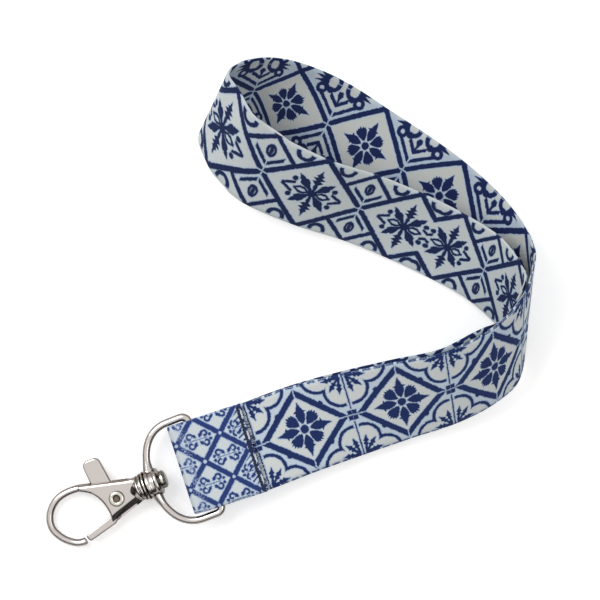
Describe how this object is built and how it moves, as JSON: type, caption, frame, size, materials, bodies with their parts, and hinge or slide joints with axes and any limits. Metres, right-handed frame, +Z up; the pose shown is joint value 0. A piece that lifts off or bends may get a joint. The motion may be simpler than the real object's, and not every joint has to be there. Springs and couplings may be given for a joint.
{
  "type": "lanyard",
  "caption": "Short wrist lanyard: a printed webbing loop sewn into a tab round a D-ring, with a swivelling trigger hook, lying folded on a table.",
  "frame": {"origin": "on the table, under the middle of the whole object's box", "axes": "+X from the hook towards the far end of the loop, +Y across the loop towards its rolled corner, +Z up from the table"},
  "size_m": [0.1554, 0.1142, 0.0288],
  "materials": {
    "printed_webbing": "matte woven polyester, blue tile print on cream",
    "sewing_thread": "dark navy thread",
    "nickel_plate": "polished nickel plate",
    "spring_steel": "bare spring wire"
  },
  "bodies": {
    "strap": {"strap_webbing": "printed_webbing", "ring_tab": "printed_webbing", "needle_thread": "sewing_thread", "bobbin_thread": "sewing_thread"},
    "ring": {"d_ring": "nickel_plate"},
    "hook": {"hook_body": "nickel_plate", "swivel_rivet": "nickel_plate", "swivel_washer": "nickel_plate", "gate_spring": "spring_steel", "pivot_rivet": "nickel_plate"},
    "gate": {"gate_lever": "nickel_plate"}
  },
  "joints": [
    {"name": "ring_swing", "type": "hinge", "parent": "strap", "child": "ring", "pos_m": [-0.02919, -0.04144, 0.00615], "axis": [0, 1, 0], "range_deg": [-100, 100]},
    {"name": "hook_swivel", "type": "hinge", "parent": "ring", "child": "hook", "pos_m": [-0.02919, -0.04144, 0.00615], "axis": [0.9946, 0, 0.1035], "continuous": true},
    {"name": "gate_open", "type": "hinge", "parent": "hook", "child": "gate", "pos_m": [-0.05564, -0.04174, 0.00339], "axis": [0.1035, 0, -0.9946], "range_deg": [0, 26], "stiffness_Nm_per_rad": 0.01, "springref_deg": -57.3}
  ]
}
